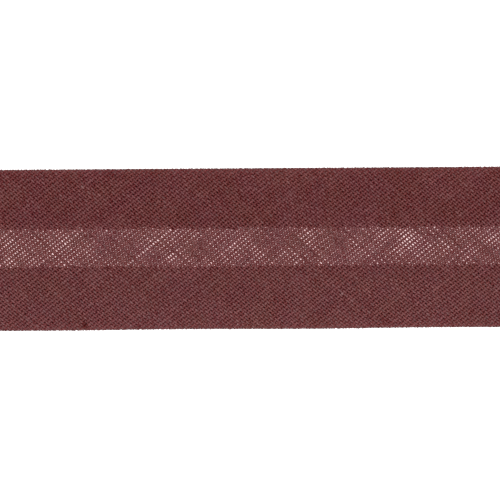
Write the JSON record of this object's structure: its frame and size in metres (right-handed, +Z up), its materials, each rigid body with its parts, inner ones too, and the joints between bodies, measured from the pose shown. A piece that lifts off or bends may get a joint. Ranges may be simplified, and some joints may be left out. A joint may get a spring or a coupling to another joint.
{
  "type": "bias binding tape",
  "caption": "Cut length of plain-woven bias binding tape, its long edges pressed under so that a thinner single-layer band runs along the middle.",
  "frame": {"origin": "centre of the tape's length and width, on the surface that it lies on", "axes": "+X along the tape, +Y across it towards the narrower turned-under edge, +Z up through its right side"},
  "size_m": [0.1, 0.02, 0.0024],
  "materials": {
    "wine_cotton": "matte"
  },
  "bodies": {
    "root": {"bias_tape": "wine_cotton"}
  },
  "joints": []
}
